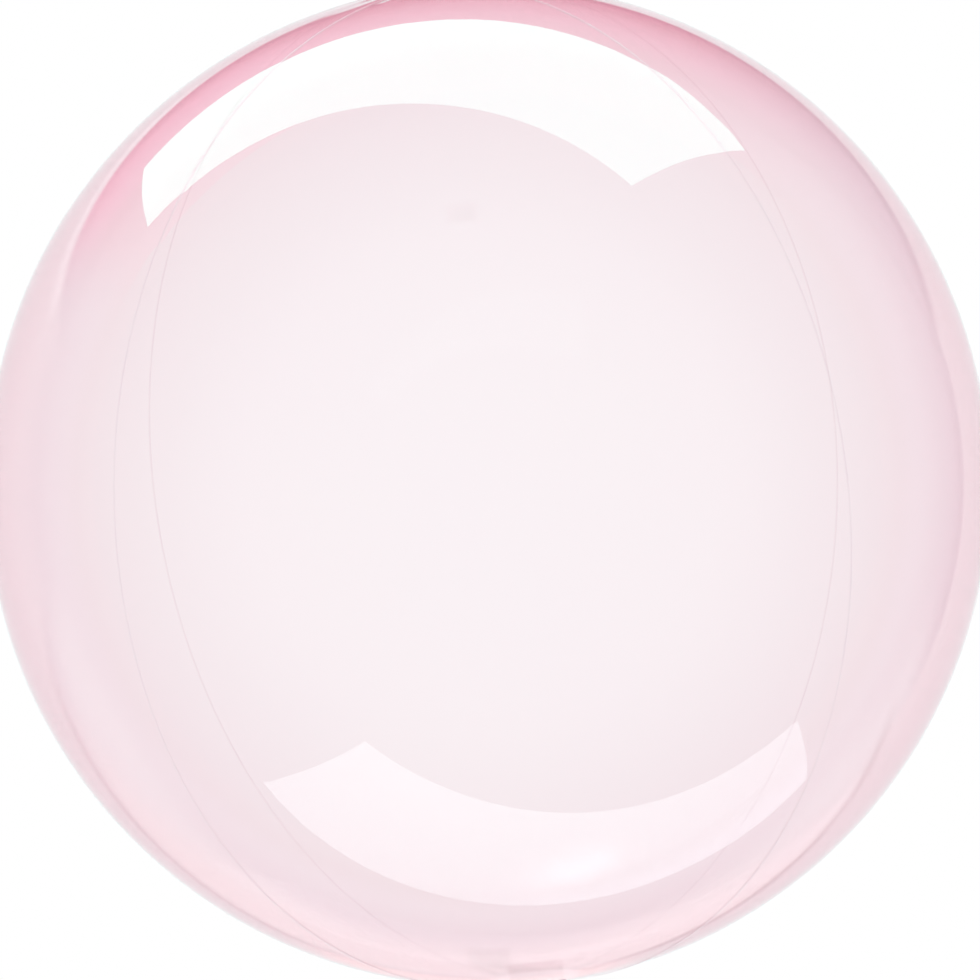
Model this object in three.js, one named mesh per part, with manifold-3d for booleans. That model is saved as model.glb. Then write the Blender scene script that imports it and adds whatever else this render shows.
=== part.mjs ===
// A clear bubble balloon lying on its side: four film gores welded edge to edge into a ball,
// with a flat filling tail. Millimetres, +Z up.
// The line from tail to crown lies level along Y, with the crown towards +Y. The origin is the
// middle of the small flat spot that the ball lies on.
import * as THREE from 'three';
import { mergeVertices } from 'three/addons/utils/BufferGeometryUtils.js';
import Module from 'manifold-3d';

const wasm = await Module();
wasm.setup();

// The ball
const BALL_DIAMETER = 500; // across the middles of two opposite gores
const BALL_RADIUS = BALL_DIAMETER / 2;
const FLAT_SPOT_RADIUS = 40; // the patch that the ball lies on
const CENTRE_HEIGHT = Math.sqrt(BALL_RADIUS ** 2 - FLAT_SPOT_RADIUS ** 2);

// The four gores and the welds between them
const GORES = 4;
const GORE_ANGLE = (2 * Math.PI) / GORES;
const FIRST_SEAM = THREE.MathUtils.degToRad(43); // round the ball, from straight up towards +X
const SEAM_DIP = 0.6; // how far a seam line lies inside the ball's full radius
const WELD_WIDTH = 2.4;
const WELD_STAND = 0.8; // how far a weld stands out of the film
const CROWN_WELD_RADIUS = 6; // the round spot where the four welds meet

// The neck, where the ball draws in and flattens towards the tail
const NECK_MOUTH_RADIUS = 26; // where the drawing in begins
const NECK_HALF_WIDTH = 15;
const NECK_HALF_THICKNESS = 1.7;
const NECK_FILLET = 10; // length of the drawing in
const NECK_LAND = 4; // straight length after it
const NECK_END = -(BALL_RADIUS + NECK_FILLET + NECK_LAND);

// The filling tail: two films welded at their edges, with the valve sleeve flat between them
const JOINT_GAP = 0.3; // clearance between the neck and the tail
const TAIL_LENGTH = 60;
const TAIL_WAIST_HALF_WIDTH = 14;
const TAIL_END_HALF_WIDTH = 19;
const TAIL_CORNER_RADIUS = 5;
const TAIL_THICKNESS = 1.6;
const SLEEVE_WIDTH = 21;
const SLEEVE_THICKNESS = 3;
const SLEEVE_END_MARGIN = 5; // from the sleeve's mouth to the tail's end

// Fineness of the facets
const GORE_STEPS = 15; // across one gore
const MERIDIAN_STEPS = 36; // from the crown weld to the neck
const NECK_STEPS = 5;

const filmMaterial = new THREE.MeshStandardMaterial({
  color: 0xf3c3d3,
  roughness: 0.06,
  metalness: 0,
  transparent: true,
  opacity: 0.3,
});
const tailMaterial = new THREE.MeshStandardMaterial({
  color: 0xecb3c6,
  roughness: 0.12,
  metalness: 0,
  transparent: true,
  opacity: 0.45,
});

// A gore's cross-section is one arc. It passes the full radius at the gore's middle and lies
// SEAM_DIP inside it at both seams. This gives the arc's distance from the ball's axis, as a
// share of the full radius, at an angle from the gore's middle.
function goreShare(fromMiddle) {
  const seamRadius = 1 - SEAM_DIP / BALL_RADIUS;
  const half = GORE_ANGLE / 2;
  const offset = (1 - seamRadius ** 2) / (2 * (1 - seamRadius * Math.cos(half)));
  const arcRadius = 1 - offset;
  const reach = Math.sqrt(arcRadius ** 2 - (offset * Math.sin(fromMiddle)) ** 2);
  return offset * Math.cos(fromMiddle) + reach;
}

// The columns of one ring, as { angle, share, weld }: the angle round the ball, the gore's share
// of the radius there, and 1 on the top of a weld, 0 on the film. A weld keeps its width along
// its whole length, so the angle it takes up grows towards the poles.
function ringColumns(ringRadius) {
  const widest = GORE_ANGLE / (GORE_STEPS + 2);
  const halfWeld = Math.min(WELD_WIDTH / 2 / ringRadius, widest);
  const columns = [];
  for (let gore = 0; gore < GORES; gore += 1) {
    const seam = FIRST_SEAM + gore * GORE_ANGLE;
    columns.push({ angle: seam, share: goreShare(GORE_ANGLE / 2), weld: 1 });
    for (let step = 0; step <= GORE_STEPS; step += 1) {
      const along = halfWeld + ((GORE_ANGLE - 2 * halfWeld) * step) / GORE_STEPS;
      columns.push({ angle: seam + along, share: goreShare(along - GORE_ANGLE / 2), weld: 0 });
    }
  }
  return columns;
}

// A ring of the ball at an angle from the crown. Its welds stand out of the film, and on the
// crown weld the whole ring does.
function ballRing(fromCrown, allWeld = false) {
  const ringRadius = BALL_RADIUS * Math.sin(fromCrown);
  return ringColumns(ringRadius).map(({ angle, share, weld }) => {
    const stand = allWeld || weld ? 1 + WELD_STAND / BALL_RADIUS : 1;
    const reach = ringRadius * share * stand;
    const y = BALL_RADIUS * Math.cos(fromCrown) * stand;
    return new THREE.Vector3(reach * Math.sin(angle), y, reach * Math.cos(angle));
  });
}

// A ring of the neck: a quarter turn of a fillet draws the round mouth in to a flat oval while
// the ring moves out along the axis. drawn runs from 0 at the mouth to 1 at the flat oval.
function neckRing(drawn, extra = 0) {
  const inward = 1 - Math.sin((drawn * Math.PI) / 2);
  const outward = 1 - Math.cos((drawn * Math.PI) / 2);
  const mouthY = -Math.sqrt(BALL_RADIUS ** 2 - NECK_MOUTH_RADIUS ** 2);
  const filletEndY = NECK_END + NECK_LAND;
  const halfWidth = THREE.MathUtils.lerp(NECK_HALF_WIDTH, NECK_MOUTH_RADIUS, inward);
  const halfThickness = THREE.MathUtils.lerp(NECK_HALF_THICKNESS, NECK_MOUTH_RADIUS, inward);
  const y = THREE.MathUtils.lerp(mouthY, filletEndY, outward) - extra;
  return ringColumns(NECK_MOUTH_RADIUS).map(({ angle, weld }) => {
    const stand = weld * WELD_STAND * inward;
    const x = (halfWidth + stand) * Math.sin(angle);
    const z = (halfThickness + stand) * Math.cos(angle);
    return new THREE.Vector3(x, y, z);
  });
}

// A closed skin through rings of equal length, with a point at each end.
function skinThroughRings(startPoint, rings, endPoint) {
  const points = [startPoint, ...rings.flat(), endPoint];
  const columns = rings[0].length;
  const last = points.length - 1;
  const at = (ring, column) => 1 + ring * columns + (column % columns);
  const triangles = [];
  for (let column = 0; column < columns; column += 1) {
    triangles.push(0, at(0, column), at(0, column + 1));
    for (let ring = 0; ring < rings.length - 1; ring += 1) {
      const here = at(ring, column);
      const next = at(ring, column + 1);
      const below = at(ring + 1, column);
      const belowNext = at(ring + 1, column + 1);
      triangles.push(here, below, belowNext, here, belowNext, next);
    }
    triangles.push(last, at(rings.length - 1, column + 1), at(rings.length - 1, column));
  }
  const geometry = new THREE.BufferGeometry().setFromPoints(points);
  geometry.setIndex(triangles);
  return geometry;
}

function toSolid(geometry) {
  const bare = geometry.clone();
  bare.deleteAttribute('normal');
  bare.deleteAttribute('uv');
  const merged = mergeVertices(bare, 1e-4);
  const vertProperties = new Float32Array(merged.attributes.position.array);
  const triVerts = new Uint32Array(merged.index.array);
  return new wasm.Manifold(new wasm.Mesh({ numProp: 3, vertProperties, triVerts }));
}

function toGeometry(solid) {
  const { vertProperties, triVerts } = solid.getMesh();
  const geometry = new THREE.BufferGeometry();
  geometry.setAttribute('position', new THREE.BufferAttribute(vertProperties, 3));
  geometry.setIndex(new THREE.BufferAttribute(triVerts, 1));
  geometry.computeVertexNormals();
  return geometry;
}

// The ball with its welds and neck, about the ball's centre, cut flat where it lies.
function envelopeGeometry() {
  const crownEdge = Math.asin(CROWN_WELD_RADIUS / BALL_RADIUS);
  const filmStart = Math.asin((CROWN_WELD_RADIUS + WELD_STAND) / BALL_RADIUS);
  const neckMouth = Math.PI - Math.asin(NECK_MOUTH_RADIUS / BALL_RADIUS);
  const rings = [ballRing(crownEdge, true)];
  for (let step = 0; step < MERIDIAN_STEPS; step += 1) {
    rings.push(ballRing(THREE.MathUtils.lerp(filmStart, neckMouth, step / MERIDIAN_STEPS)));
  }
  for (let step = 0; step <= NECK_STEPS; step += 1) {
    rings.push(neckRing(step / NECK_STEPS));
  }
  rings.push(neckRing(1, NECK_LAND));
  const crown = new THREE.Vector3(0, BALL_RADIUS + WELD_STAND, 0);
  const neckMiddle = new THREE.Vector3(0, NECK_END, 0);
  const ball = toSolid(skinThroughRings(crown, rings, neckMiddle));
  const below = new THREE.BoxGeometry(BALL_DIAMETER, BALL_DIAMETER, BALL_RADIUS);
  below.translate(0, 0, -CENTRE_HEIGHT - BALL_RADIUS / 2);
  return toGeometry(ball.subtract(toSolid(below)));
}

// The tail's outline: narrow at the neck, a waist where a ribbon is tied, and a wider end with
// round corners. It runs down from the neck, along -Y.
function tailOutline() {
  const start = NECK_END - JOINT_GAP;
  const end = start - TAIL_LENGTH;
  const waist = start - TAIL_LENGTH * 0.3;
  const outline = new THREE.Shape();
  outline.moveTo(-NECK_HALF_WIDTH, start);
  outline.quadraticCurveTo(-TAIL_WAIST_HALF_WIDTH, waist, -TAIL_END_HALF_WIDTH, end + TAIL_CORNER_RADIUS);
  outline.quadraticCurveTo(-TAIL_END_HALF_WIDTH, end, TAIL_CORNER_RADIUS - TAIL_END_HALF_WIDTH, end);
  outline.lineTo(TAIL_END_HALF_WIDTH - TAIL_CORNER_RADIUS, end);
  outline.quadraticCurveTo(TAIL_END_HALF_WIDTH, end, TAIL_END_HALF_WIDTH, end + TAIL_CORNER_RADIUS);
  outline.quadraticCurveTo(TAIL_WAIST_HALF_WIDTH, waist, NECK_HALF_WIDTH, start);
  return outline;
}

function sleeveOutline() {
  const start = NECK_END - JOINT_GAP;
  const end = start - TAIL_LENGTH + SLEEVE_END_MARGIN;
  const outline = new THREE.Shape();
  outline.moveTo(-SLEEVE_WIDTH / 2, start);
  outline.lineTo(-SLEEVE_WIDTH / 2, end);
  outline.lineTo(SLEEVE_WIDTH / 2, end);
  outline.lineTo(SLEEVE_WIDTH / 2, start);
  return outline;
}

function plate(outline, thickness) {
  const geometry = new THREE.ExtrudeGeometry(outline, {
    depth: thickness,
    bevelEnabled: false,
    curveSegments: 8,
  });
  return geometry.translate(0, 0, -thickness / 2);
}

function tailGeometry() {
  const films = toSolid(plate(tailOutline(), TAIL_THICKNESS));
  const sleeve = toSolid(plate(sleeveOutline(), SLEEVE_THICKNESS));
  return toGeometry(films.add(sleeve));
}

function namedMesh(name, geometry, material) {
  const mesh = new THREE.Mesh(geometry, material);
  mesh.name = name;
  return mesh;
}

const balloon = new THREE.Group();
balloon.add(namedMesh('film_envelope', envelopeGeometry(), filmMaterial));
balloon.add(namedMesh('filling_tail', tailGeometry(), tailMaterial));
balloon.position.set(0, 0, CENTRE_HEIGHT);

export default balloon;
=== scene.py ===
"""A clear bubble balloon lying on its side: its film ball, weld seams, filling tail and valve
sleeve, with a plain studio round it. Every length is in metres."""

import math

import bpy
import numpy as np
from mathutils import Matrix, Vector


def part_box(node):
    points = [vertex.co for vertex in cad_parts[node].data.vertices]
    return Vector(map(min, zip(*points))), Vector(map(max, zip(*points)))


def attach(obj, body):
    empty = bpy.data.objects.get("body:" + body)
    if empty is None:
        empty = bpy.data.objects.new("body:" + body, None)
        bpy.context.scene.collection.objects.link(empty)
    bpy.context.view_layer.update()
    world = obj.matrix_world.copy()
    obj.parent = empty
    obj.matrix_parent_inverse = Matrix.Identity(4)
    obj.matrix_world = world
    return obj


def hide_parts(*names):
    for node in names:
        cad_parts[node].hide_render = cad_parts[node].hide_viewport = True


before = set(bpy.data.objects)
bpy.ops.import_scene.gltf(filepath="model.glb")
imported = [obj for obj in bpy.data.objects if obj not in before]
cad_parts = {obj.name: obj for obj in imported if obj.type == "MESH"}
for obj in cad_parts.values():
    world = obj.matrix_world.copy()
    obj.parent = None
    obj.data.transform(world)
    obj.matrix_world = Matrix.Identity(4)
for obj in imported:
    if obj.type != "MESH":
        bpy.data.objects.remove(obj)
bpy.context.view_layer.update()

bl_info = {
    "name": "Clear Bubble Balloon",
    "version": (1, 0, 0),
    "blender": (4, 5, 0),
    "location": "3D View > Sidebar > Balloon",
    "description": "Builds a clear film balloon with its seams, tail and valve sleeve",
    "category": "Add Mesh",
}

BALL_LOW, BALL_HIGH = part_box("film_envelope")
TAIL_LOW, TAIL_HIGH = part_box("filling_tail")

CROWN_WELD_STAND = 0.0008  # how far the solid's crown weld stands out of the ball
BALL_RADIUS = BALL_HIGH.y - CROWN_WELD_STAND
CENTRE_HEIGHT = (TAIL_LOW.z + TAIL_HIGH.z) / 2
NECK_END = BALL_LOW.y
NECK_LAND = 0.004  # the straight length at the neck's end
FILLET_END = NECK_END + NECK_LAND
TAIL_LENGTH = TAIL_HIGH.y - TAIL_LOW.y
TAIL_END_HALF_WIDTH = (TAIL_HIGH.x - TAIL_LOW.x) / 2
JOINT_GAP = 0.0003  # the clearance between the solids of the neck and the tail

GORES = 4
GORE_ANGLE = 2 * math.pi / GORES

OFF_FILM = 0.00003  # a weld stands this clear of the film under it
PLEATS = 16  # round the neck
PLEAT_PHASE = 0.6

# Long waves of the ball's film: height, then count and phase round the axis and along it
LONG_WAVES = (
    (0.00007, 3, 0.7, 5, 1.1),
    (0.00005, 7, 2.0, 8, 0.4),
    (0.00002, 11, 4.1, 17, 2.6),
)


# -------- sizes and colours


def a_length(name, description, default):
    """A length in metres."""
    return bpy.props.FloatProperty(
        name=name, description=description, default=default, precision=5, unit="LENGTH"
    )


def an_angle(name, description, degrees):
    """An angle, given in degrees and kept in radians."""
    return bpy.props.FloatProperty(
        name=name, description=description, default=math.radians(degrees), subtype="ANGLE"
    )


def a_number(name, description, default):
    return bpy.props.FloatProperty(name=name, description=description, default=default)


def a_colour(name, description, default):
    """Red, green and blue."""
    return bpy.props.FloatVectorProperty(
        name=name, description=description, default=default, subtype="COLOR"
    )


class BalloonSizes(bpy.types.PropertyGroup):
    """The sizes of the ball, its welds, its neck and its tail."""

    ball_radius: a_length(
        "Ball radius", "From the ball's centre to the middle of a gore", BALL_RADIUS
    )
    film_thickness: a_length("Film thickness", "Thickness of the film wall", 0.0001)
    first_seam: an_angle(
        "First seam", "Angle of the first seam round the ball, from straight up towards +X", 43
    )
    seam_dip: a_length("Seam dip", "How far a seam line lies inside the ball's full radius", 0.0006)
    contact_softness: a_length(
        "Contact softness", "Width of the bend where the film turns flat against the floor", 0.0012
    )
    weld_width: a_length("Weld width", "Width of a weld seam", 0.0012)
    weld_height: a_length("Weld height", "Thickness of the doubled film in a weld seam", 0.0004)
    crown_weld_radius: a_length(
        "Crown weld radius", "Radius of the round spot where the welds meet", 0.006
    )
    neck_mouth_radius: a_length(
        "Neck mouth radius", "Radius at which the ball begins to draw in to the neck", 0.026
    )
    neck_half_width: a_length("Neck half width", "Half the width of the flat oval neck", 0.015)
    neck_half_thickness: a_length(
        "Neck half thickness", "Half the thickness of the flat oval neck", 0.0017
    )
    tail_waist_half_width: a_length(
        "Tail waist half width",
        "Half the width of the tail at its waist, where a ribbon is tied",
        0.014,
    )
    tail_corner_radius: a_length(
        "Tail corner radius", "Radius of the corners at the tail's end", 0.005
    )
    tail_weld_margin: a_length(
        "Tail weld margin", "Width of the weld down each edge of the tail", 0.002
    )
    sleeve_width: a_length("Sleeve width", "Width of the flat valve sleeve", 0.021)
    sleeve_reach: an_angle(
        "Sleeve reach", "Angle that the sleeve runs along the inside of the ball from the neck", 14
    )


class FilmColours(bpy.types.PropertyGroup):
    """The tints of the film, as the share of light that one layer takes from each colour."""

    film_takes: a_colour(
        "Film takes",
        "Share of red, green and blue light that one layer of film takes",
        (0.007, 0.041, 0.032),
    )
    weld_takes: a_colour(
        "Weld takes", "Share of red, green and blue light that a weld takes", (0.024, 0.036, 0.031)
    )
    sleeve_takes: a_colour(
        "Sleeve takes",
        "Share of red, green and blue light that the valve sleeve takes",
        (0.003, 0.01, 0.008),
    )
    sheen_tint: a_colour("Sheen tint", "Colour of the film's glow at a slant", (1.0, 0.3, 0.45))
    sheen_weight: a_number("Sheen weight", "Strength of the film's glow at a slant", 0.2)


def sizes():
    return bpy.context.scene.balloon_sizes


def colours():
    return bpy.context.scene.balloon_colours


# -------- meshes


def ring_quads(rings, columns, first=0, closed=False):
    """The quads between rings of columns points, each ring closed on itself. If closed is set,
    the last ring joins the first one."""
    ring = np.arange(rings if closed else rings - 1)[:, None] * columns
    next_ring = (ring + columns) % (rings * columns)
    here = np.arange(columns)[None, :]
    after = (here + 1) % columns
    corners = (ring + here, next_ring + here, next_ring + after, ring + after)
    return first + np.stack(corners, axis=-1).reshape(-1, 4)


def pole_triangles(pole, ring_start, columns, facing_start):
    """The triangles from one pole point to a closed ring."""
    here = ring_start + np.arange(columns)
    after = ring_start + (np.arange(columns) + 1) % columns
    second, third = (here, after) if facing_start else (after, here)
    return np.stack((np.full(columns, pole), second, third), axis=-1)


def closed_skin(rings, start_pole, end_pole):
    """Points and faces of a closed skin through an array of rings, ring by column by xyz, with
    a pole at each end. The faces point out."""
    count, columns = rings.shape[:2]
    points = np.concatenate(([start_pole], rings.reshape(-1, 3), [end_pole]))
    faces = [
        ring_quads(count, columns, 1),
        pole_triangles(0, 1, columns, True),
        pole_triangles(len(points) - 1, 1 + (count - 1) * columns, columns, False),
    ]
    return points, faces


def quads_to_triangles(quads):
    """Cuts each quad along the line from its first corner to its third."""
    return np.concatenate((quads[:, [0, 1, 2]], quads[:, [0, 2, 3]]))


def open_shell(outer_rings, outer_pole, inner_rings, inner_pole):
    """Points and faces of a thin shell, closed over its pole and open at its last ring, where a
    lip joins its two skins. Both skins are cut into triangles along the same lines, so that
    they can't cross."""
    count, columns = outer_rings.shape[:2]
    skin = [[outer_pole], outer_rings.reshape(-1, 3), [inner_pole], inner_rings.reshape(-1, 3)]
    second = 1 + count * columns
    cap = pole_triangles(0, 1, columns, True)
    sides = quads_to_triangles(ring_quads(count, columns, 1))
    outer_edge = 1 + (count - 1) * columns + np.arange(columns)
    outer_after = np.roll(outer_edge, -1)
    lip = np.stack((outer_edge, outer_edge + second, outer_after + second, outer_after), axis=-1)
    faces = [cap, sides, (cap + second)[:, ::-1], (sides + second)[:, ::-1], lip]
    return np.concatenate(skin), faces


def open_tube(outer_rings, inner_rings):
    """Points and faces of a tube with walls: along the outer rings, over a lip, back along the
    inner rings and over the other lip."""
    rings = np.concatenate((outer_rings, inner_rings[::-1]))
    count, columns = rings.shape[:2]
    return rings.reshape(-1, 3), [ring_quads(count, columns, closed=True)]


def thick_sheet(middle, half_thickness):
    """A closed skin round a sheet, given by its middle points, row by column by xyz. Each point
    moves half_thickness both ways along the sheet's normal, which is the cross product of the
    sheet's two directions."""
    down = np.gradient(middle, axis=0)
    across = np.gradient(middle, axis=1)
    normal = np.cross(down, across)
    normal /= np.linalg.norm(normal, axis=-1, keepdims=True)
    shift = normal * half_thickness[..., None]
    rings = np.concatenate((middle + shift, (middle - shift)[:, ::-1]), axis=1)
    return closed_skin(rings, rings[0].mean(axis=0), rings[-1].mean(axis=0))


def add_object(name, points, faces, material, layers):
    """An object at the origin. layers gives the kind, the field and the values, point by point,
    of each attribute by name."""
    mesh = bpy.data.meshes.new(name)
    mesh.from_pydata(np.asarray(points).tolist(), [], faces)
    for attribute, (kind, field, values) in layers.items():
        layer = mesh.attributes.new(attribute, kind, "POINT")
        layer.data.foreach_set(field, values)
    mesh.update()
    mesh.materials.append(material)
    added = bpy.data.objects.new(name, mesh)
    bpy.context.scene.collection.objects.link(added)
    return added


def add_mesh(name, skins, material, attributes=None):
    """One smooth piece made of closed skins. attributes gives float values for each point."""
    points, faces, first = [], [], 0
    for skin_points, skin_faces in skins:
        for part in skin_faces:
            faces.extend((part + first).tolist())
        points.append(skin_points)
        first += len(skin_points)
    layers = {
        attribute: ("FLOAT", "value", np.asarray(values, np.float32))
        for attribute, values in (attributes or {}).items()
    }
    piece = add_object(name, np.concatenate(points), faces, material, layers)
    piece.data.shade_smooth()
    return piece


def smooth_step(edge_low, edge_high, value):
    """0 below edge_low, 1 above edge_high, and 3t^2 - 2t^3 between them."""
    t = np.clip((value - edge_low) / (edge_high - edge_low), 0, 1)
    return t * t * (3 - 2 * t)


def band(edges, value):
    """1 between the second and third of four edges, and a smooth step to 0 at the outer ones."""
    return smooth_step(*edges[:2], value) * (1 - smooth_step(*edges[2:], value))


def bell(middle, width, value):
    """1 at the middle, falling off on both sides as exp(-((value - middle) / width)^2)."""
    return np.exp(-(((value - middle) / width) ** 2))


# -------- the ball's surface


def gore_share(from_middle):
    """A gore's distance from the ball's axis, as a share of the full radius, at an angle from
    the gore's middle. The gore's cross-section is one arc, of radius 1 - c about a point c out
    from the axis, which lies seam_dip inside the full radius at both seams."""
    seam_radius = 1 - sizes().seam_dip / sizes().ball_radius
    half = GORE_ANGLE / 2
    offset = (1 - seam_radius**2) / (2 * (1 - seam_radius * math.cos(half)))
    reach = np.sqrt((1 - offset) ** 2 - (offset * np.sin(from_middle)) ** 2)
    return offset * np.cos(from_middle) + reach


def film_waves(around, from_crown):
    """How far the film stands in or out, in metres: long shallow waves over the ball, each a
    product of a cosine round the axis and a cosine along it, short puckers beside the seams,
    and gathers that fade out about 15 degrees from the crown and 12 from the neck."""
    waves = sum(
        height * np.cos(round_count * around + round_phase) * np.cos(count * from_crown + phase)
        for height, round_count, round_phase, count, phase in LONG_WAVES
    )
    waves *= np.sin(from_crown) ** 2
    pucker_height, pucker_count, pucker_reach = 0.00006, 58, 0.045
    from_seam = (around - sizes().first_seam + GORE_ANGLE / 2) % GORE_ANGLE - GORE_ANGLE / 2
    beside_seam = bell(0, pucker_reach, from_seam) * (from_seam / pucker_reach) ** 2
    puckers = np.cos(pucker_count * from_crown) * np.sin(from_crown)
    waves += pucker_height * beside_seam * puckers
    crown_height, crown_gathers, crown_reach = 0.00035, 20, 0.16
    gathers_start, gathers_full = 0.02, 0.07
    near_crown = bell(0, crown_reach, from_crown)
    near_crown *= smooth_step(gathers_start, gathers_full, from_crown)
    waves += crown_height * near_crown * np.cos(crown_gathers * around)
    neck_height, neck_reach = 0.00032, 0.12
    near_neck = bell(math.pi, neck_reach, from_crown)
    waves += neck_height * near_neck * np.cos(PLEATS * around + PLEAT_PHASE)
    return waves


def ball_point(around, from_crown, out=0.0):
    """Points of the ball at an angle round its axis, from straight up towards +X, and at an
    angle from the crown, out metres off the film's outer face. The ball is a sphere whose
    distance from the axis is scaled by the gore's share."""
    radius = sizes().ball_radius + out + film_waves(around, from_crown)
    from_seam = (around - sizes().first_seam) % GORE_ANGLE - GORE_ANGLE / 2
    reach = radius * np.sin(from_crown) * gore_share(from_seam)
    return np.stack(
        (
            reach * np.sin(around),
            radius * np.cos(from_crown) + 0 * around,
            CENTRE_HEIGHT + reach * np.cos(around),
        ),
        axis=-1,
    )


def neck_oval(inward):
    """Half the width and half the thickness of the neck, where inward falls from 1 at its round
    mouth to 0 at its flat end."""
    mouth, flat = sizes().neck_mouth_radius, sizes().neck_half_thickness
    half_width = sizes().neck_half_width + (mouth - sizes().neck_half_width) * inward
    return half_width, flat + (mouth - flat) * inward


def neck_point(around, drawn, straight=0.0, out=0.0):
    """Points of the neck: a quarter turn of a fillet draws the round mouth in to a flat oval
    while it moves out along the axis. drawn runs from 0 at the mouth to 1 at the flat oval, and
    straight is the way past it. Pleats run along the neck and die out in the flat oval."""
    size = sizes()
    inward = 1 - np.sin(drawn * math.pi / 2)
    outward = 1 - np.cos(drawn * math.pi / 2)
    mouth_y = -math.sqrt(size.ball_radius**2 - size.neck_mouth_radius**2)
    half_width, half_thickness = neck_oval(inward)
    pleat_height = 0.00015
    pleats = pleat_height * np.cos(PLEATS * around + PLEAT_PHASE) * inward
    y = mouth_y + (FILLET_END - mouth_y) * outward - straight
    return np.stack(
        (
            (half_width + out + pleats) * np.sin(around),
            y - out * inward + 0 * around,
            CENTRE_HEIGHT + (half_thickness + out + pleats) * np.cos(around),
        ),
        axis=-1,
    )


def rest_on_floor(points, lift):
    """Flattens what would lie below the floor. Height h becomes the smooth larger of h and
    lift, (h + lift + sqrt((h - lift)^2 + k^2)) / 2 with k the contact's softness, near the
    floor alone."""
    height = points[..., 2]
    softness = sizes().contact_softness
    soft = (height + lift + np.sqrt((height - lift) ** 2 + softness**2)) / 2
    near_end, far_start = 0.004, 0.012
    near = 1 - smooth_step(near_end, far_start, height)
    points[..., 2] = height + (soft - height) * near
    return points


def column_angles(steps):
    """Angles round the ball, close together at the seams and even across each gore."""
    crowding = 0.11
    even = np.linspace(0, 1, steps, endpoint=False)
    spread = even - crowding * np.sin(2 * math.pi * even)
    gore = np.arange(GORES)[:, None]
    return (sizes().first_seam + (gore + spread[None, :]) * GORE_ANGLE).reshape(-1)


def ball_rings(out):
    """Rings of the ball and its neck, out metres off the film's outer face, and the crown."""
    gore_steps, crown_steps, ball_steps, neck_steps, land_steps = 58, 14, 130, 16, 4
    first_ring, crown_end = 0.004, 0.16
    around = column_angles(gore_steps)
    mouth = math.pi - math.asin(sizes().neck_mouth_radius / sizes().ball_radius)
    near_crown = np.linspace(first_ring, crown_end, crown_steps, endpoint=False)
    over_ball = np.linspace(crown_end, mouth, ball_steps, endpoint=False)
    from_crown = np.concatenate((near_crown, over_ball))
    ball = ball_point(around[None, :], from_crown[:, None], out)
    drawn = np.linspace(0, 1, neck_steps)
    neck = neck_point(around[None, :], drawn[:, None], 0.0, out)
    straight = np.linspace(1 / land_steps, 1, land_steps) * (FILLET_END - NECK_END)
    land = neck_point(around[None, :], np.ones((land_steps, 1)), straight[:, None], out)
    rings = rest_on_floor(np.concatenate((ball, neck, land)), -out)
    return rings, (0, sizes().ball_radius + out, CENTRE_HEIGHT)


# -------- finishes

FILM_GLOSS = 1.5  # the coat's refractive index on the ball, the welds and the tail
SLEEVE_GLOSS = 1.15  # and on the sleeve, which lies against other film


def new_material(name):
    material = bpy.data.materials.new(name)
    material.use_nodes = True
    tree = material.node_tree
    return material, tree, tree.nodes["Principled BSDF"], tree.nodes["Material Output"]


def set_inputs(node, values):
    for name, value in values.items():
        node.inputs[name].default_value = value


def start_group(name, inputs, output):
    """A shader node group with its sockets made, each given as a name and a kind. Gives the
    group and its nodes for what goes in and what comes out."""
    group = bpy.data.node_groups.new(name, "ShaderNodeTree")
    for socket, kind in inputs:
        group.interface.new_socket(socket, in_out="INPUT", socket_type="NodeSocket" + kind)
    socket, kind = output
    group.interface.new_socket(socket, in_out="OUTPUT", socket_type="NodeSocket" + kind)
    return group, group.nodes.new("NodeGroupInput"), group.nodes.new("NodeGroupOutput")


def add_math(nodes, links, operation, *operands):
    """A maths node. Each operand is a plain number or another node's output. Gives its output."""
    node = nodes.new("ShaderNodeMath")
    node.operation = operation
    for socket, operand in zip(node.inputs, operands):
        if isinstance(operand, bpy.types.NodeSocket):
            links.new(operand, socket)
        else:
            socket.default_value = operand
    return node.outputs["Value"]


def film_tint_group():
    """A node group that drifts between two tints over a surface, as soft clouds."""
    name = "Film tint drift"
    if name in bpy.data.node_groups:
        return bpy.data.node_groups[name]
    inputs = (("Tint A", "Color"), ("Tint B", "Color"), ("Cloud Scale", "Float"))
    group, given, result = start_group(name, inputs, ("Tint", "Color"))
    nodes, links = group.nodes, group.links
    place = nodes.new("ShaderNodeTexCoord")
    clouds = nodes.new("ShaderNodeTexNoise")
    set_inputs(clouds, {"Detail": 1.0})
    contrast = nodes.new("ShaderNodeMapRange")
    set_inputs(contrast, {"From Min": 0.38, "From Max": 0.62})
    blend = nodes.new("ShaderNodeMix")
    blend.data_type = "RGBA"
    links.new(place.outputs["Object"], clouds.inputs["Vector"])
    links.new(given.outputs["Cloud Scale"], clouds.inputs["Scale"])
    links.new(clouds.outputs["Fac"], contrast.inputs["Value"])
    links.new(contrast.outputs["Result"], blend.inputs["Factor"])
    links.new(given.outputs["Tint A"], blend.inputs["A"])
    links.new(given.outputs["Tint B"], blend.inputs["B"])
    links.new(blend.outputs["Result"], result.inputs["Tint"])
    return group


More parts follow.
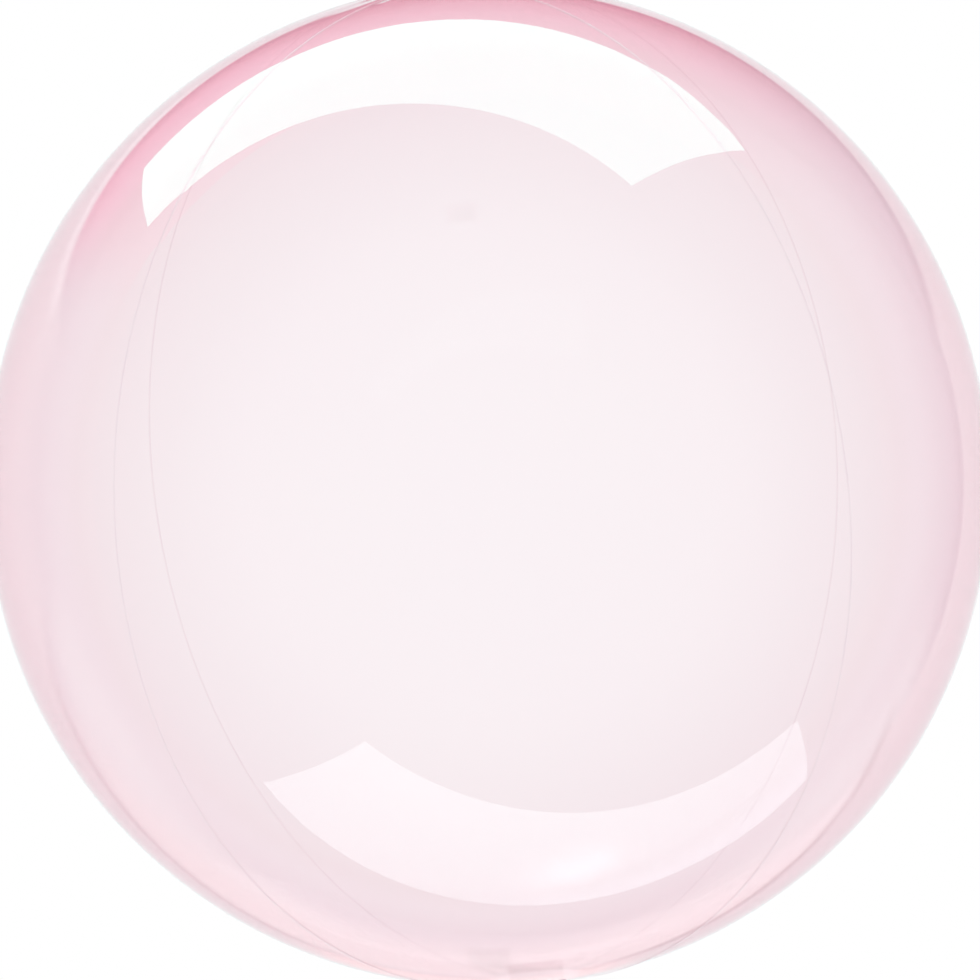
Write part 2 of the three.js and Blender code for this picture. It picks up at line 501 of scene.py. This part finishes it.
def crimp_group():
    """A node group that gives the height of a heat-sealed crimp: fine bars across the seam,
    worked out from the length along it, and only where weld is 1."""
    name = "Weld crimp"
    if name in bpy.data.node_groups:
        return bpy.data.node_groups[name]
    inputs = (("Along", "Float"), ("Pitch", "Float"), ("Weld", "Float"))
    group, given, result = start_group(name, inputs, ("Height", "Float"))
    nodes, links = group.nodes, group.links
    turns = add_math(nodes, links, "DIVIDE", given.outputs["Along"], given.outputs["Pitch"])
    phase = add_math(nodes, links, "MULTIPLY", turns, 2 * math.pi)
    bars = add_math(nodes, links, "SINE", phase)
    height = add_math(nodes, links, "MULTIPLY", bars, given.outputs["Weld"])
    links.new(height, result.inputs["Height"])
    return group


def take_light(tree, output, takes, thickness):
    """Plain absorption inside the film, so that a straight way through one layer, thickness
    metres long, takes the given share of each colour. The colour that is taken most has
    strongest as its share of the density."""
    strongest = 0.9
    rate = -np.log(1 - np.array(takes)) / thickness
    density = float(rate.max()) / strongest
    absorb = tree.nodes.new("ShaderNodeVolumeAbsorption")
    set_inputs(absorb, {"Density": density, "Color": (*(1 - rate / density), 1)})
    tree.links.new(absorb.outputs["Volume"], output.inputs["Volume"])


def drift_tint(tree, shader, tint_a, tint_b, cloud_scale):
    """Lets the shader's colour drift between two tints. cloud_scale counts clouds in a metre."""
    drift = tree.nodes.new("ShaderNodeGroup")
    drift.node_tree = film_tint_group()
    tints = {"Tint A": (*tint_a, 1), "Tint B": (*tint_b, 1)}
    set_inputs(drift, {**tints, "Cloud Scale": cloud_scale})
    tree.links.new(drift.outputs["Tint"], shader.inputs["Base Color"])


def crimp_bump(tree, shader, pitch, strength, distance):
    """Bars of a crimp, pitch metres apart, in the shader's normal, where the mesh's weld is 1."""
    along = tree.nodes.new("ShaderNodeAttribute")
    along.attribute_name = "along"
    weld = tree.nodes.new("ShaderNodeAttribute")
    weld.attribute_name = "weld"
    crimp = tree.nodes.new("ShaderNodeGroup")
    crimp.node_tree = crimp_group()
    set_inputs(crimp, {"Pitch": pitch})
    bump = tree.nodes.new("ShaderNodeBump")
    set_inputs(bump, {"Strength": strength, "Distance": distance})
    tree.links.new(along.outputs["Fac"], crimp.inputs["Along"])
    tree.links.new(weld.outputs["Fac"], crimp.inputs["Weld"])
    tree.links.new(crimp.outputs["Height"], bump.inputs["Height"])
    tree.links.new(bump.outputs["Normal"], shader.inputs["Normal"])


def clear_film(shader, coat_ior, roughness):
    """Clear film by plain values: light goes straight through, and the mirror-smooth face is
    the coat."""
    set_inputs(shader, {"Transmission Weight": 1.0, "IOR": 1.0, "Roughness": roughness})
    set_inputs(shader, {"Coat Weight": 1.0, "Coat IOR": coat_ior, "Coat Roughness": 0.0})


def pink_sheen(shader):
    set_inputs(shader, {"Sheen Weight": colours().sheen_weight, "Sheen Roughness": 0.5})
    set_inputs(shader, {"Sheen Tint": (*colours().sheen_tint, 1)})


def pale_pink_film():
    """The ball's film: clear, mirror smooth, and pinker the more slanted it is seen."""
    material, tree, shader, output = new_material("pale_pink_film")
    clear_film(shader, FILM_GLOSS, roughness=0.0)
    pink_sheen(shader)
    drift_tint(tree, shader, (1.0, 1.0, 1.0), (0.999, 0.997, 1.0), cloud_scale=7.0)
    take_light(tree, output, colours().film_takes, sizes().film_thickness)
    return material


def weld_film():
    """Film doubled and melted together in a weld: deeper pink, with a fine crimp."""
    material, tree, shader, output = new_material("weld_film")
    clear_film(shader, FILM_GLOSS, roughness=0.02)
    drift_tint(tree, shader, (1.0, 0.99, 0.99), (0.99, 0.97, 0.98), cloud_scale=60.0)
    crimp_bump(tree, shader, pitch=0.0011, strength=0.5, distance=0.0001)
    take_light(tree, output, colours().weld_takes, sizes().weld_height)
    return material


def tail_film():
    """The tail's film: as clear as the ball's, a little duller where its edges are welded."""
    material, tree, shader, output = new_material("tail_film")
    clear_film(shader, FILM_GLOSS, roughness=0.02)
    pink_sheen(shader)
    drift_tint(tree, shader, (1.0, 0.98, 0.99), (1.0, 0.95, 0.97), cloud_scale=45.0)
    crimp_bump(tree, shader, pitch=0.0013, strength=0.8, distance=0.0002)
    take_light(tree, output, colours().film_takes, sizes().film_thickness)
    return material


def sleeve_film():
    """The valve sleeve's film: thin, clear and slightly clouded."""
    material, tree, shader, output = new_material("sleeve_film")
    clear_film(shader, SLEEVE_GLOSS, roughness=0.02)
    drift_tint(tree, shader, (1.0, 1.0, 1.0), (1.0, 0.99, 0.99), cloud_scale=30.0)
    take_light(tree, output, colours().sleeve_takes, sizes().film_thickness)
    return material


# -------- the pieces


def finish_piece(piece, replaced=None):
    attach(piece, "root")
    if replaced:
        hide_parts(replaced)


class BALLOON_OT_film_ball(bpy.types.Operator):
    """Make the ball: a thin shell of four film gores, open only at its drawn-in neck"""

    bl_idname = "balloon.film_ball"
    bl_label = "Film ball"

    def execute(self, context):
        outer, outer_crown = ball_rings(0.0)
        inner, inner_crown = ball_rings(-sizes().film_thickness)
        skin = open_shell(outer, outer_crown, inner, inner_crown)
        ball = add_mesh("film_ball", [skin], pale_pink_film())
        finish_piece(ball, "film_envelope")
        return {"FINISHED"}


def weld_rib(seam, steps=170, sides=10):
    """One weld along a seam: a flat ellipse, weld_width by weld_height, carried from the crown
    weld to the neck a hair outside the film. Gives the closed skin and the length along the
    seam at each point."""
    size = sizes()
    tuck = 0.8  # the rib starts this share of the crown weld's radius from the crown
    taper_steps, taper_end = 4, 0.3
    start = math.asin(size.crown_weld_radius * tuck / size.ball_radius)
    end = math.pi - math.asin(size.neck_mouth_radius / size.ball_radius)
    from_crown = np.linspace(start, end, steps)
    turn = np.linspace(0, 2 * math.pi, sides, endpoint=False)
    from_end = np.minimum(np.arange(steps), np.arange(steps)[::-1])
    taper = np.clip(from_end / taper_steps, taper_end, 1)
    sideways = size.weld_width / 2 * np.cos(turn)[None, :] * taper[:, None]
    lift = OFF_FILM + size.weld_height / 2 * (1 + np.sin(turn))[None, :] * taper[:, None]
    reach = size.ball_radius * np.sin(from_crown)
    around = seam + sideways / reach[:, None]
    rings = ball_point(around, from_crown[:, None] + 0 * around, lift)
    rings = rest_on_floor(rings, OFF_FILM)
    first = rings[0].mean(axis=0)
    last = rings[-1].mean(axis=0)
    skin = closed_skin(rings[:, ::-1], first, last)
    along = np.repeat(from_crown * size.ball_radius, sides)
    return skin, np.concatenate(([along[0]], along, [along[-1]]))


def crown_spot(rings=6, columns=48):
    """The round weld where the four seams meet: a low cushion, its height falling from the
    middle to the rim as a quarter of an ellipse, over a flat foot just off the film."""
    size = sizes()
    around = np.linspace(0, 2 * math.pi, columns, endpoint=False)
    rim = math.asin(size.crown_weld_radius / size.ball_radius)
    first_share = 0.15
    rim_height = OFF_FILM + 0.00001
    share = np.linspace(first_share, 1, rings)
    height = size.weld_height * np.sqrt(np.maximum(1 - share**2, 0))
    top = ball_point(around[None, :], rim * share[:, None], rim_height + height[:, None])
    foot = ball_point(around[None, :], rim * share[::-1, None], OFF_FILM)
    crown = size.ball_radius + film_waves(0.0, 0.0)
    outer_pole = (0, crown + rim_height + size.weld_height, CENTRE_HEIGHT)
    inner_pole = (0, crown + OFF_FILM, CENTRE_HEIGHT)
    skin = closed_skin(np.concatenate((top, foot)), outer_pole, inner_pole)
    return skin, np.zeros(len(skin[0]))


class BALLOON_OT_weld_seams(bpy.types.Operator):
    """Make the four weld seams and the round weld where they meet at the crown"""

    bl_idname = "balloon.weld_seams"
    bl_label = "Weld seams"

    def execute(self, context):
        seams = sizes().first_seam + np.arange(GORES) * GORE_ANGLE
        parts = [weld_rib(seam) for seam in seams] + [crown_spot()]
        along = np.concatenate([values for _, values in parts])
        attributes = {"along": along, "weld": np.ones_like(along)}
        welds = add_mesh("weld_seams", [skin for skin, _ in parts], weld_film(), attributes)
        finish_piece(welds)
        return {"FINISHED"}


def tail_edge(side_steps=44, corner_steps=8):
    """The way down the tail from its start, and the half width there: a quadratic curve past
    the waist to the corner at the tail's end, and a quadratic curve round the corner."""
    size = sizes()
    waist_place = 0.3  # the curve's middle point, as a share of the tail's length
    side = np.linspace(0, 1, side_steps, endpoint=False)
    corner = np.linspace(0, 1, corner_steps)
    run = TAIL_LENGTH - size.tail_corner_radius
    side_along = 2 * side * (1 - side) * waist_place * TAIL_LENGTH + side**2 * run
    side_width = size.neck_half_width * (1 - side) ** 2
    side_width += 2 * side * (1 - side) * size.tail_waist_half_width
    side_width += side**2 * TAIL_END_HALF_WIDTH
    corner_along = TAIL_LENGTH - size.tail_corner_radius * (1 - corner) ** 2
    corner_width = TAIL_END_HALF_WIDTH - size.tail_corner_radius * corner**2
    along = np.concatenate((side_along, corner_along))
    return along[:, None], np.concatenate((side_width, corner_width))[:, None]


def tail_rings(inset, turn):
    """Rings of the tail, inset metres inside its outer face. Each starts as the neck's flat
    oval and turns, over a short way, into two flat films welded at their edges, with a channel
    between them whose height falls off from its middle as a parabola. Shallow cosine ruffles
    run across the weld margins. The start is drawn a little way into the neck."""
    size = sizes()
    turn_start, turn_end = 0.001, 0.014
    neck_clearance = 0.0001
    channel_margin, channel_height, pressed_half = 0.0021, 0.0011, 0.00016
    fold_sharpness = 7
    ruffle_height, ruffle_pitch, ruffle_power = 0.0004, 0.019, 6
    tuck, tuck_power = 0.0012, 8
    along, half_width = tail_edge()
    flat = smooth_step(turn_start, turn_end, along)
    margin = size.tail_weld_margin if inset else 0.0
    reach = half_width - inset - (margin - inset) * flat
    x = reach * np.cos(turn)[None, :]
    side = np.sin(turn)[None, :]
    oval = (size.neck_half_thickness - neck_clearance - inset) * side
    channel_half = size.sleeve_width / 2 + channel_margin
    channel = channel_height * np.clip(1 - (x / channel_half) ** 2, 0, 1)
    height = channel + pressed_half - inset
    films = np.tanh(fold_sharpness * side) * height
    edge = np.abs(x / half_width) ** ruffle_power
    ruffle = ruffle_height * np.cos(2 * math.pi * along / ruffle_pitch) * edge * flat
    z = CENTRE_HEIGHT + oval * (1 - flat) + films * flat + ruffle * np.sign(x)
    y = NECK_END - JOINT_GAP + tuck * (1 - along / TAIL_LENGTH) ** tuck_power - along
    return np.stack((x, y + 0 * x, z), axis=-1), along + 0 * x, (np.abs(x) > channel_half) * flat


class BALLOON_OT_tail_film(bpy.types.Operator):
    """Make the filling tail: two films welded at their edges, open at both ends"""

    bl_idname = "balloon.tail_film"
    bl_label = "Tail film"

    def execute(self, context):
        columns = 96
        turn = -np.linspace(0, 2 * math.pi, columns, endpoint=False)
        outer, outer_along, outer_weld = tail_rings(0.0, turn)
        inner, inner_along, inner_weld = tail_rings(sizes().film_thickness, turn)
        attributes = {
            "along": np.concatenate((outer_along, inner_along[::-1])).reshape(-1),
            "weld": np.concatenate((outer_weld, 0 * inner_weld)).reshape(-1),
        }
        tail = add_mesh("tail_film", [open_tube(outer, inner)], tail_film(), attributes)
        finish_piece(tail, "filling_tail")
        tail.visible_glossy = False  # the film's rim doesn't mirror it
        return {"FINISHED"}


def on_film(aside, down, out):
    """Points out metres off the film's outer face near the neck, where aside and down are
    measured from the neck's middle, towards -X and -Z, along the ball. Inside the neck's mouth
    the ring of the neck through the point is found by halving its range of sizes."""
    size = sizes()
    from_neck = np.hypot(aside, down)
    around = np.arctan2(-aside, -down)
    ball = ball_point(around, math.pi - from_neck / size.ball_radius, out)
    halvings = 30
    low = np.zeros_like(from_neck)
    high = np.ones_like(from_neck)
    for _ in range(halvings):
        inward = (low + high) / 2
        width, height = neck_oval(inward)
        outside = (aside / width) ** 2 + (down / height) ** 2 > 1
        low = np.where(outside, inward, low)
        high = np.where(outside, high, inward)
    drawn = np.arcsin(1 - inward) / (math.pi / 2)
    turn = np.arctan2(-aside / width, -down / height)
    neck = neck_point(turn, drawn, 0.0, out)
    return np.where((from_neck < size.neck_mouth_radius)[..., None], neck, ball)


def sleeve_middle(across):
    """Middle points of the sleeve, row by column by xyz. It runs level through the tail and the
    neck, over the neck's lip and along the inside of the film below, where it swings aside as
    3t^2 - 2t^3 and then runs straight."""
    size = sizes()
    lean, swing = 0.023, 0.040  # how far it swings aside, and within what length
    gap = -0.0011  # from the film's outer face, inwards
    end_margin = 0.005  # from its mouth to the tail's end
    drop_start, drop_end = -0.014, -0.001
    tail_rows, ball_rows = 60, 110
    reach = size.sleeve_reach * size.ball_radius
    down = np.linspace(size.neck_half_thickness, reach, ball_rows)[1:, None]
    share = np.clip((down - size.neck_half_thickness) / swing, 0, 1)
    aside = lean * share * share * (3 - 2 * share)
    slope = lean * 6 * share * (1 - share) / swing
    length = np.hypot(1, slope)
    on_ball = on_film(aside + across / length, down - across * slope / length, gap)
    y = np.linspace(TAIL_LOW.y + end_margin, FILLET_END, tail_rows)[:, None]
    level = smooth_step(drop_start, drop_end, y - NECK_END)
    wall = np.sqrt(np.maximum(1 - (across / size.neck_half_width) ** 2, 0))
    drop = (size.neck_half_thickness + gap) * wall * level
    in_tail = np.stack((-across + 0 * y, y + 0 * across, CENTRE_HEIGHT - drop), axis=-1)
    return np.concatenate((in_tail, on_ball))


class BALLOON_OT_valve_sleeve(bpy.types.Operator):
    """Make the valve sleeve: a flat tube of film, through the tail and neck into the ball"""

    bl_idname = "balloon.valve_sleeve"
    bl_label = "Valve sleeve"

    def execute(self, context):
        half = sizes().sleeve_width / 2
        columns = 33
        film_half, bead_height, bead_place, bead_width = 0.00005, 0.00006, 0.0006, 0.0004
        across = half * np.sin(np.linspace(-math.pi / 2, math.pi / 2, columns))[None, :]
        middle = sleeve_middle(across)
        bead = bell(bead_place, bead_width, half - np.abs(across))
        half_thickness = film_half + bead_height * bead + np.zeros((len(middle), 1))
        skin = thick_sheet(middle, half_thickness)
        sleeve = add_mesh("valve_sleeve", [skin], sleeve_film())
        finish_piece(sleeve)
        sleeve.visible_glossy = False  # the film's rim doesn't mirror it
        return {"FINISHED"}


# -------- the studio


class StudioSettings(bpy.types.PropertyGroup):
    """The camera's place and the strength of the studio's lights. Distances count in ball
    radii."""

    camera_turn: an_angle(
        "Camera turn", "Turn of the camera's upright from the balloon's axis, towards +X", 5.64
    )
    camera_lean: an_angle(
        "Camera lean", "Lean of the camera from straight above, towards the crown", 5.68
    )
    camera_swing: an_angle(
        "Camera swing", "Swing of the camera round the balloon's axis, towards -X", 0.57
    )
    camera_distance: a_number(
        "Camera distance", "From the ball's centre to the camera, in ball radii", 20.0
    )
    frame_fill: a_number("Frame fill", "The ball's radius as a share of half the frame", 1.0253)
    frame_shift: bpy.props.FloatVectorProperty(
        name="Frame shift",
        description="Place of the ball's centre in the frame, right and up, in half frames",
        default=(-0.0039, 0.0100),
        size=2,
    )
    softbox_front: a_colour(
        "Softbox on the near film",
        "Light of the softbox in the film that faces the camera",
        (1.5, 2.65, 2.35),
    )
    softbox_back: a_colour(
        "Softbox on the far film", "Light of the softbox in the film behind", (1.85, 2.4, 2.35)
    )
    wide_light: a_colour(
        "Backdrop", "Light of the backdrop in the near film", (0.84, 0.98, 1.03)
    )
    wide_back: a_number(
        "Backdrop on the far film", "Brightness of the backdrop in the film behind", 0.8
    )
    # A painted pink reflection on the top of the near film's rim.
    pink_light: a_colour(
        "Pink field", "Light of the backdrop's upper field in the near film", (0.85, 0.47, 0.57)
    )
    panel_light: a_colour(
        "Middle panel",
        "Light of the long panel across the backdrop in the near film",
        (1.10, 1.32, 1.30),
    )
    lower_light: a_colour(
        "Lower panel", "Light of the panel below it in the near film", (1.10, 1.40, 1.38)
    )
    room_tint: a_colour("Room tint", "Colour of the room's reflection", (0.93, 1.0, 1.02))
    room_low: a_number(
        "Room from below", "Brightness of the room's reflection from below the horizon", 0.75
    )
    room_high: a_number(
        "Room from above", "Brightness of the room's reflection from straight above", 0.90
    )


def studio():
    return bpy.context.scene.balloon_studio


def studio_turn():
    """The camera's turn from looking straight down with its upright along +Y."""
    setting = studio()
    lean = Matrix.Rotation(-setting.camera_lean, 3, "X")
    swing = Matrix.Rotation(-setting.camera_swing, 3, "Y")
    return swing @ lean @ Matrix.Rotation(-setting.camera_turn, 3, "Z")


def studio_point(place):
    """Points given in ball radii from the ball's centre, right, up and towards the camera."""
    away = sizes().ball_radius * np.asarray(place) @ np.array(studio_turn()).T
    return away + (0.0, 0.0, CENTRE_HEIGHT)


def add_stage(name, points, faces, material, lights=None):
    """A stage object. lights holds arrays of red, green and blue by name, one row a point."""
    layers = {
        light_name: ("FLOAT_COLOR", "color", np.insert(light, 3, 1.0, axis=1).ravel())
        for light_name, light in (lights or {}).items()
    }
    add_object(name, points, np.asarray(faces).tolist(), material, layers)


def empty_material(name):
    material = bpy.data.materials.new(name)
    material.use_nodes = True
    material.node_tree.nodes.clear()
    material.cycles.emission_sampling = "NONE"
    return material, material.node_tree.nodes, material.node_tree.links


def in_reflections(nodes, links, seen_plain, seen_reflected):
    """Mixes what a surface shows when seen plainly, or through clear film, with what it shows
    after one reflection or more."""
    path = nodes.new("ShaderNodeLightPath")
    under_one = 0.5
    reflected = add_math(nodes, links, "GREATER_THAN", path.outputs["Glossy Depth"], under_one)
    choose = nodes.new("ShaderNodeMixShader")
    links.new(reflected, choose.inputs["Fac"])
    links.new(seen_plain, choose.inputs[1])
    links.new(seen_reflected, choose.inputs[2])
    return choose.outputs["Shader"]


def card_material(name):
    """A glowing card that shows in reflections alone: with its near_light in the film that
    faces the camera, which light leaves after crossing at most both its faces, and with its
    far_light in the film behind."""
    material, nodes, links = empty_material(name)
    output = nodes.new("ShaderNodeOutputMaterial")
    clear = nodes.new("ShaderNodeBsdfTransparent")
    path = nodes.new("ShaderNodeLightPath")
    crossed, over_two = path.outputs["Transmission Depth"], 2.5
    behind = add_math(nodes, links, "GREATER_THAN", crossed, over_two)
    film = nodes.new("ShaderNodeMixShader")
    links.new(behind, film.inputs["Fac"])
    for socket, light_name in ((1, "near_light"), (2, "far_light")):
        light = nodes.new("ShaderNodeAttribute")
        light.attribute_name = light_name
        glow = nodes.new("ShaderNodeEmission")
        links.new(light.outputs["Color"], glow.inputs["Color"])
        links.new(glow.outputs["Emission"], film.inputs[socket])
    shown = in_reflections(nodes, links, clear.outputs["BSDF"], film.outputs["Shader"])
    links.new(shown, output.inputs["Surface"])
    return material


def add_softbox():
    """A bent softbox: a surface ruled both ways between its four corners. A bright spot shows
    on it in the far film."""
    near_left = studio_point((-4.69, 4.32, -4.92))
    near_right = studio_point((3.96, 5.15, -1.70))
    far_right = studio_point((2.91, 5.99, 1.72))
    far_left = studio_point((-6.81, 5.17, -2.84))
    steps, spot_gain = 31, 0.6
    share = np.linspace(0, 1, steps)
    along = share[:, None, None]
    up = share[None, :, None]
    points = (near_left * (1 - along) + near_right * along) * (1 - up)
    points = points + (far_left * (1 - along) + far_right * along) * up
    row = np.arange(steps - 1)[:, None] * steps
    here = row + np.arange(steps - 1)[None, :]
    faces = np.stack((here, here + steps, here + steps + 1, here + 1), axis=-1)
    spot = spot_gain * bell(0.48, 0.055, along) * bell(0.41, 0.2, up)
    lights = {
        "near_light": np.full((steps * steps, 3), studio().softbox_front),
        "far_light": ((1 + spot) * np.array(studio().softbox_back)).reshape(-1, 3),
    }
    material = card_material("softbox_light")
    add_stage("softbox", points.reshape(-1, 3), faces.reshape(-1, 4), material, lights)


def backdrop_light(way, slope):
    """The light of the backdrop in the near film: even, with a pink field above that paints a pink
    reflection into the top of the film's rim, a long white panel across the middle and a brighter
    one below it, thin lines of painted shade between them and a thin line of painted highlight at
    the upper left. The way counts in degrees from the right and over the top. The slope is the
    tangent of the angle off the line of sight through the ball's centre."""
    setting = studio()
    top_height, top_tilt = 0.315, 0.08
    low_height, low_tilt = -0.40, 0.12
    bottom_way, bottom_near, bottom_far = 268, 12, 24
    pink_way = (34, 74, 142, 158)
    lower_up, lower_right = (-1.3, -0.75, -0.5, -0.2), (-1.9, -1.0, 0.8, 1.5)
    panel_right, lines_right = (-1.45, -0.75, 0.74, 0.80), (-0.9, -0.5, 0.7, 1.1)
    pale_left = (0.15, 0.3, 0.82, 0.92)
    rim_loss, left_gain, streak_gain = 0.7, 0.6, 0.5
    shade_share, highlight_share, left_loss, side_share = 0.15, 0.18, 0.5, 0.5
    right = slope * np.cos(np.radians(way))
    up = slope * np.sin(np.radians(way))
    over_top = up + top_tilt * right - top_height
    over_low = up + low_tilt * right - low_height
    bottom = 1 - smooth_step(bottom_near, bottom_far, abs(way - bottom_way))
    # The pink field is a painted pink reflection: it makes the top of the film's rim a deeper pink
    # than the film's own tint gives.
    pink_part = band(pink_way, way)
    pink_extra = smooth_step(0.3, 0.85, slope) * (1 - rim_loss * smooth_step(0.9, 1.25, slope))
    pink_extra *= 1 + left_gain * smooth_step(85, 120, way)
    pink_extra += streak_gain * smooth_step(105, 125, way) * bell(0.58, 0.16, slope)
    lower_part = band(lower_up, up) * band(lower_right, right)
    lower_extra = 1 - smooth_step(0.35, 0.90, abs(right + 0.05))
    panel_part = (1 - smooth_step(-0.015, 0.02, over_top)) * smooth_step(-0.03, 0.03, over_low)
    panel_part *= band(panel_right, right)
    panel_extra = bottom * smooth_step(0.1, 0.3, -up)
    # Thin lines of painted shade along the panels' edges: the card's light is dimmed there.
    top_line = bell(0.04, 0.03, over_top) * (1 - left_loss * smooth_step(0.1, 0.3, -right))
    low_line = bell(0, 0.03, over_low) * (1 - bottom) * np.where(right > 0, 2, 1)
    side_line = side_share * bell(0.86, 0.06, right) * (up > -0.5)
    shade_lines = np.maximum(np.maximum(top_line, low_line), side_line)
    shade_lines *= band(lines_right, right)
    # A thin line of painted highlight at the upper left: the card's light is raised there.
    highlight_line = bell(-0.03, 0.025, over_top) * band(pale_left, -right)
    changes = (
        (setting.wide_light, 1 - smooth_step(1.8, 2.9, slope), (0, 0, 0), 0 * way),
        (setting.pink_light, pink_part, (0.21, 0.14, 0.19), pink_extra),
        (setting.lower_light, lower_part, (0.20, 0.10, 0.07), lower_extra),
        (setting.panel_light, panel_part, (0.28, 0.13, 0.10), panel_extra),
    )
    light = np.ones((*way.shape, 3)) * setting.room_low * np.array(setting.room_tint)
    for area_light, part, extra, extra_part in changes:
        aim = np.array(area_light) + extra_part[:, :, None] * extra
        light += part[:, :, None] * (aim - light)
    return light * (1 - shade_share * shade_lines + highlight_share * highlight_line)[:, :, None]


def add_backdrop():
    """The wide card behind the balloon that the film reflects towards its rim. It is laid out
    as the rim shows it: light reaches the camera from there one ball radius off the line of
    sight, and the camera's own view leans out by a radius in camera_distance."""
    depth = 30.0
    way_step, fine_step, coarse_step = 2.0, 0.02, 0.1
    fine_end, outer_end = 1.4, 3.0
    fine = np.arange(fine_step, fine_end, fine_step)
    coarse = np.arange(fine_end, outer_end, coarse_step)
    way, slope = np.meshgrid(np.arange(0.0, 360.0, way_step), np.concatenate((fine, coarse)))
    placed = np.tan(np.arctan(slope) + 1 / studio().camera_distance) + 1 / depth
    right = placed * np.cos(np.radians(way))
    up = placed * np.sin(np.radians(way))
    rings = studio_point(np.stack((right, up, -np.ones_like(way)), axis=-1) * depth)
    lights = {
        "near_light": backdrop_light(way, slope).reshape(-1, 3),
        "far_light": np.full((way.size, 3), studio().wide_back),
    }
    faces = ring_quads(*way.shape)
    add_stage("backdrop", rings.reshape(-1, 3), faces, card_material("backdrop_light"), lights)


def add_floor():
    """The white floor. Reflections see past it to the cards behind."""
    material, nodes, links = empty_material("floor_white")
    output = nodes.new("ShaderNodeOutputMaterial")
    white = nodes.new("ShaderNodeEmission")
    clear = nodes.new("ShaderNodeBsdfTransparent")
    shown = in_reflections(nodes, links, white.outputs["Emission"], clear.outputs["BSDF"])
    links.new(shown, output.inputs["Surface"])
    half, height = 10.0, -0.0005
    corners = [(-half, -half), (half, -half), (half, half), (-half, half)]
    add_stage("floor", [(x, y, height) for x, y in corners], [range(4)], material)


def add_room():
    """Plain white all round. In reflections it changes evenly from room_low a little below the
    horizon to room_high straight above."""
    world = bpy.data.worlds.new("white_room")
    bpy.context.scene.world = world
    world.use_nodes = True
    world.cycles.sampling_method = "NONE"
    nodes, links = world.node_tree.nodes, world.node_tree.links
    nodes.clear()
    output = nodes.new("ShaderNodeOutputWorld")
    plain = nodes.new("ShaderNodeBackground")
    set_inputs(plain, {"Color": (1, 1, 1, 1)})
    reflected = nodes.new("ShaderNodeBackground")
    set_inputs(reflected, {"Color": (*studio().room_tint, 1)})
    place = nodes.new("ShaderNodeTexCoord")
    split = nodes.new("ShaderNodeSeparateXYZ")
    height = nodes.new("ShaderNodeMapRange")
    height.interpolation_type = "SMOOTHSTEP"
    set_inputs(height, {"From Min": 0.1, "From Max": 0.6})
    set_inputs(height, {"To Min": studio().room_low, "To Max": studio().room_high})
    links.new(place.outputs["Generated"], split.inputs["Vector"])
    links.new(split.outputs["Z"], height.inputs["Value"])
    links.new(height.outputs["Result"], reflected.inputs["Strength"])
    shown = in_reflections(nodes, links, plain.outputs[0], reflected.outputs[0])
    links.new(shown, output.inputs["Surface"])


def add_camera():
    """The camera, nearly straight above, with a long lens."""
    setting = studio()
    distance = setting.camera_distance
    half_view = 1 / (setting.frame_fill * math.sqrt(distance**2 - 1))
    shift_right, shift_up = (-part * half_view * distance for part in setting.frame_shift)
    camera = bpy.data.cameras.new("camera")
    camera.lens = camera.sensor_width / 2 / half_view
    camera.clip_end = 100
    seat = bpy.data.objects.new("camera", camera)
    bpy.context.scene.collection.objects.link(seat)
    turned = studio_turn().to_4x4()
    turned.translation = studio_point((shift_right, shift_up, distance))
    seat.matrix_world = turned
    bpy.context.scene.camera = seat


class BALLOON_OT_studio(bpy.types.Operator):
    """Make the floor, the room, the softbox and cards that the film reflects, and the camera"""

    bl_idname = "balloon.studio"
    bl_label = "Studio"

    def execute(self, context):
        scene = context.scene
        scene.view_settings.view_transform = "Standard"
        scene.cycles.max_bounces = 12
        scene.cycles.transmission_bounces = 12
        scene.cycles.glossy_bounces = 3
        scene.cycles.diffuse_bounces = 1
        scene.cycles.transparent_max_bounces = 12
        add_backdrop()
        add_softbox()
        add_floor()
        add_room()
        add_camera()
        return {"FINISHED"}


# -------- the add-on


class BALLOON_PT_pieces(bpy.types.Panel):
    """The balloon's sizes and colours, and a button for each piece"""

    bl_idname = "BALLOON_PT_pieces"
    bl_label = "Clear bubble balloon"
    bl_space_type = "VIEW_3D"
    bl_region_type = "UI"
    bl_category = "Balloon"

    def draw(self, context):
        scene = context.scene
        for settings in (scene.balloon_sizes, scene.balloon_colours, scene.balloon_studio):
            box = self.layout.box()
            for name in settings.bl_rna.properties.keys():
                if name not in {"rna_type", "name"}:
                    box.prop(settings, name)
        for operator in OPERATORS:
            self.layout.operator(operator.bl_idname)


OPERATORS = (
    BALLOON_OT_studio,
    BALLOON_OT_film_ball,
    BALLOON_OT_weld_seams,
    BALLOON_OT_tail_film,
    BALLOON_OT_valve_sleeve,
)
CLASSES = (BalloonSizes, FilmColours, StudioSettings, *OPERATORS, BALLOON_PT_pieces)


def register():
    for each in CLASSES:
        bpy.utils.register_class(each)
    bpy.types.Scene.balloon_sizes = bpy.props.PointerProperty(type=BalloonSizes)
    bpy.types.Scene.balloon_colours = bpy.props.PointerProperty(type=FilmColours)
    bpy.types.Scene.balloon_studio = bpy.props.PointerProperty(type=StudioSettings)


def unregister():
    del bpy.types.Scene.balloon_studio
    del bpy.types.Scene.balloon_colours
    del bpy.types.Scene.balloon_sizes
    for each in reversed(CLASSES):
        bpy.utils.unregister_class(each)


def main():
    register()
    bpy.ops.balloon.studio()
    bpy.ops.balloon.film_ball()
    bpy.ops.balloon.weld_seams()
    bpy.ops.balloon.tail_film()
    bpy.ops.balloon.valve_sleeve()


if __name__ == "__main__":
    main()
